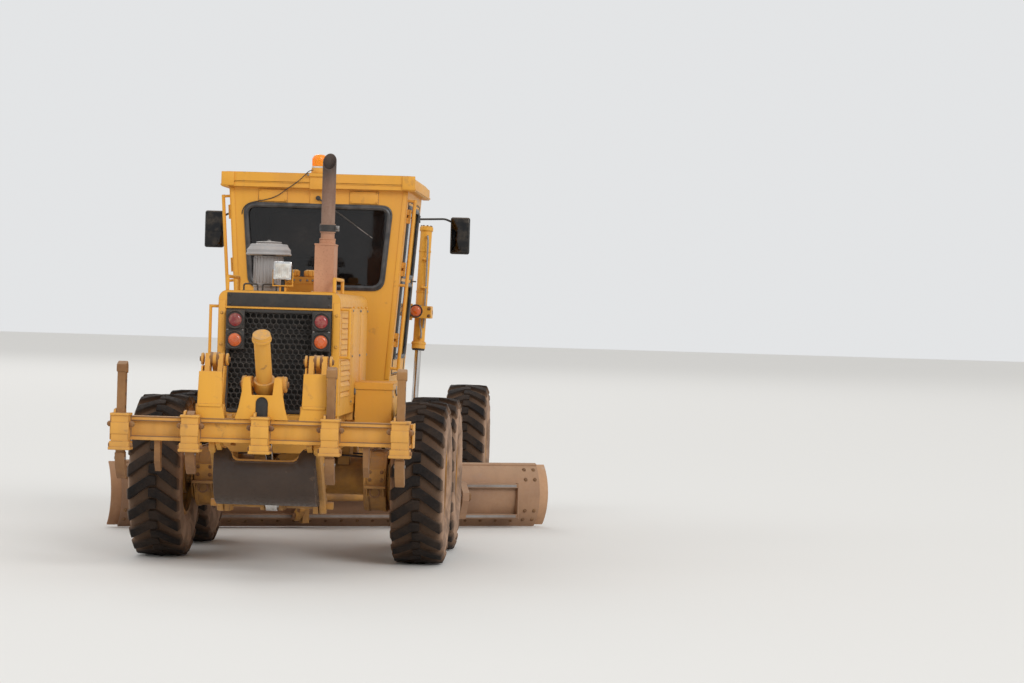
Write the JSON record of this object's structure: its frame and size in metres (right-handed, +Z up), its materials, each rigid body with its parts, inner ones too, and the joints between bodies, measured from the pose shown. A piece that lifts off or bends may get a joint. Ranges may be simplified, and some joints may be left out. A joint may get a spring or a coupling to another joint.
{
  "type": "motor grader",
  "caption": "Articulated motor grader with a high cab, a blade under a circle and drawbar, leaning steered front wheels, tandem drive wheels and a rear ripper.",
  "frame": {"origin": "on the ground, on the centre line, under the middle of the machine's length", "axes": "+Y towards the front wheels, +X to the machine's right, +Z up"},
  "size_m": [4.107, 9.9555, 3.4723],
  "materials": {
    "paint": "dusty, worn yellow ochre paint",
    "dark_paint": "matt black paint with dust",
    "grey_paint": "faded grey paint",
    "rusty_steel": "rusty and worn steel",
    "chrome": "polished rod",
    "tyre": "black rubber with brown dust",
    "glass": "tinted window glass",
    "upholstery": "dark woven cover",
    "trim": "matt black",
    "amber": "clear amber lens"
  },
  "bodies": {
    "rear": {"rear_frame": "paint", "engine": "dark_paint", "hood": "paint", "grille": "dark_paint", "rear_lamps": "dark_paint", "exhaust": "rusty_steel", "air_cleaner": "grey_paint", "hand_rails": "paint", "side_boxes": "paint", "rear_axle": "paint", "tandems": "paint"},
    "ripper_link": {"ripper_lower_link": "dark_paint"},
    "ripper_links": {"ripper_upper_links": "paint"},
    "ripper": {"ripper_beam": "paint", "ripper_shanks": "rusty_steel"},
    "ripper_barrel": {"ripper_cylinder": "paint"},
    "ripper_rod": {"ripper_rod": "chrome"},
    "front": {"front_frame": "paint", "lift_saddle": "paint", "cab": "paint", "cab_roof": "paint", "cab_glass": "glass", "seat": "upholstery", "controls": "trim", "mirrors": "dark_paint", "beacon": "amber", "steps": "dark_paint", "front_axle": "paint"},
    "door_left": {"door_left": "paint", "door_left_glass": "glass"},
    "door_right": {"door_right": "paint", "door_right_glass": "glass"},
    "lean_left": {"lean_left": "paint"},
    "lean_right": {"lean_right": "paint"},
    "lean_bar": {"lean_bar": "paint"},
    "steer_left": {"steer_left": "paint"},
    "steer_right": {"steer_right": "paint"},
    "drawbar": {"drawbar": "paint"},
    "circle": {"circle": "paint"},
    "blade_mount": {"blade_mount": "paint"},
    "blade": {"blade": "paint", "cutting_edge": "rusty_steel", "side_shift_rod": "chrome"},
    "lift_barrel_left": {"lift_cylinder_left": "paint"},
    "lift_barrel_right": {"lift_cylinder_right": "paint"},
    "lift_rod_left": {"lift_rod_left": "chrome"},
    "lift_rod_right": {"lift_rod_right": "chrome"},
    "wheel_rear_left": {"tyre_rear_left": "tyre", "rim_rear_left": "paint"},
    "wheel_rear_right": {"tyre_rear_right": "tyre", "rim_rear_right": "paint"},
    "wheel_mid_left": {"tyre_mid_left": "tyre", "rim_mid_left": "paint"},
    "wheel_mid_right": {"tyre_mid_right": "tyre", "rim_mid_right": "paint"},
    "wheel_front_left": {"tyre_front_left": "tyre", "rim_front_left": "paint"},
    "wheel_front_right": {"tyre_front_right": "tyre", "rim_front_right": "paint"}
  },
  "joints": [
    {"name": "articulation", "type": "hinge", "parent": "rear", "child": "front", "pos_m": [0, -0.94, 1], "axis": [0, 0, 1], "range_deg": [-20, 20]},
    {"name": "ripper_lift", "type": "hinge", "parent": "rear", "child": "ripper_link", "pos_m": [0, -3.99, 0.55], "axis": [1, 0, 0], "range_deg": [0, 75]},
    {"name": "ripper_level", "type": "hinge", "parent": "ripper_link", "child": "ripper", "pos_m": [0, -4.53, 1.04], "axis": [1, 0, 0], "range_deg": [-75, 0]},
    {"name": "ripper_upper", "type": "hinge", "parent": "rear", "child": "ripper_links", "pos_m": [0, -4.04, 1.2], "axis": [1, 0, 0], "range_deg": [0, 75]},
    {"name": "ripper_swing", "type": "hinge", "parent": "ripper", "child": "ripper_barrel", "pos_m": [0, -4.68, 1.51], "axis": [1, 0, 0], "range_deg": [0, 48]},
    {"name": "ripper_stroke", "type": "slide", "parent": "ripper_barrel", "child": "ripper_rod", "axis": [0, -0.5836, 0.812], "range_m": [0, 0.382]},
    {"name": "door_left_open", "type": "hinge", "parent": "front", "child": "door_left", "pos_m": [-0.7648, -1.152, 2.47855], "axis": [-0.0725, 0, 0.9974], "range_deg": [0, 100]},
    {"name": "door_right_open", "type": "hinge", "parent": "front", "child": "door_right", "pos_m": [0.7648, -1.152, 2.47855], "axis": [-0.0725, 0, -0.9974], "range_deg": [0, 100]},
    {"name": "lean_left_tilt", "type": "hinge", "parent": "front", "child": "lean_left", "pos_m": [-0.64, 4.246, 0.6], "axis": [0, 1, 0], "range_deg": [-18, 18]},
    {"name": "lean_right_tilt", "type": "hinge", "parent": "front", "child": "lean_right", "pos_m": [0.64, 4.246, 0.6], "axis": [0, 1, 0], "range_deg": [-18, 18]},
    {"name": "lean_bar_pivot", "type": "hinge", "parent": "lean_left", "child": "lean_bar", "pos_m": [-0.64, 4.451, 0.815], "axis": [0, 1, 0], "range_deg": [-18, 18]},
    {"name": "steer_left_turn", "type": "hinge", "parent": "lean_left", "child": "steer_left", "pos_m": [-0.78, 4.246, 0.6], "axis": [0, 0, 1], "range_deg": [-50, 50]},
    {"name": "steer_right_turn", "type": "hinge", "parent": "lean_right", "child": "steer_right", "pos_m": [0.78, 4.246, 0.6], "axis": [0, 0, 1], "range_deg": [-50, 50]},
    {"name": "drawbar_lift", "type": "hinge", "parent": "front", "child": "drawbar", "pos_m": [0, 3.71, 1.05], "axis": [-1, 0, 0], "range_deg": [-12, 11]},
    {"name": "circle_turn", "type": "hinge", "parent": "drawbar", "child": "circle", "pos_m": [0, 1.41, 0.75], "axis": [0, 0, -1], "range_deg": [-10, 60]},
    {"name": "blade_tip", "type": "hinge", "parent": "circle", "child": "blade_mount", "pos_m": [0.19018, 1.00216, 0.12], "axis": [-0.9063, -0.4226, 0], "range_deg": [-5, 40]},
    {"name": "blade_shift", "type": "slide", "parent": "blade_mount", "child": "blade", "axis": [0.9063, 0.4226, 0], "range_m": [-0.36, 0.81]},
    {"name": "lift_left_swing", "type": "hinge", "parent": "front", "child": "lift_barrel_left", "pos_m": [-0.735, 1.51, 2.11], "axis": [-1, 0, 0], "range_deg": [-2.9, 2.7]},
    {"name": "lift_left_stroke", "type": "slide", "parent": "lift_barrel_left", "child": "lift_rod_left", "axis": [-0.0344, 0.0688, 0.997], "range_m": [-0.476, 0.436]},
    {"name": "lift_right_swing", "type": "hinge", "parent": "front", "child": "lift_barrel_right", "pos_m": [0.735, 1.51, 2.11], "axis": [-1, 0, 0], "range_deg": [-2.9, 2.7]},
    {"name": "lift_right_stroke", "type": "slide", "parent": "lift_barrel_right", "child": "lift_rod_right", "axis": [0.0344, 0.0688, 0.997], "range_m": [-0.476, 0.436]},
    {"name": "spin_rear_left", "type": "hinge", "parent": "rear", "child": "wheel_rear_left", "pos_m": [-1.08, -2.6, 0.675], "axis": [1, 0, 0], "continuous": true},
    {"name": "spin_rear_right", "type": "hinge", "parent": "rear", "child": "wheel_rear_right", "pos_m": [1.08, -2.6, 0.675], "axis": [1, 0, 0], "continuous": true},
    {"name": "spin_mid_left", "type": "hinge", "parent": "rear", "child": "wheel_mid_left", "pos_m": [-1.08, -1.08, 0.675], "axis": [1, 0, 0], "continuous": true},
    {"name": "spin_mid_right", "type": "hinge", "parent": "rear", "child": "wheel_mid_right", "pos_m": [1.08, -1.08, 0.675], "axis": [1, 0, 0], "continuous": true},
    {"name": "spin_front_left", "type": "hinge", "parent": "steer_left", "child": "wheel_front_left", "pos_m": [-1.08, 4.246, 0.675], "axis": [1, 0, 0], "continuous": true},
    {"name": "spin_front_right", "type": "hinge", "parent": "steer_right", "child": "wheel_front_right", "pos_m": [1.08, 4.246, 0.675], "axis": [1, 0, 0], "continuous": true}
  ],
  "couplings": [
    {"joint": "ripper_level", "follows": "ripper_lift", "ratio": -1},
    {"joint": "ripper_upper", "follows": "ripper_lift", "ratio": 1},
    {"joint": "ripper_swing", "follows": "ripper_lift", "ratio": 0.634},
    {"joint": "ripper_stroke", "follows": "ripper_lift", "m_per_rad": 0.2915},
    {"joint": "lean_right_tilt", "follows": "lean_left_tilt", "ratio": 1},
    {"joint": "lean_bar_pivot", "follows": "lean_left_tilt", "ratio": -1},
    {"joint": "steer_right_turn", "follows": "steer_left_turn", "ratio": 1},
    {"joint": "lift_left_swing", "follows": "drawbar_lift", "ratio": 0.2304},
    {"joint": "lift_left_stroke", "follows": "drawbar_lift", "m_per_rad": 2.268},
    {"joint": "lift_right_swing", "follows": "drawbar_lift", "ratio": 0.2304},
    {"joint": "lift_right_stroke", "follows": "drawbar_lift", "m_per_rad": 2.268}
  ]
}
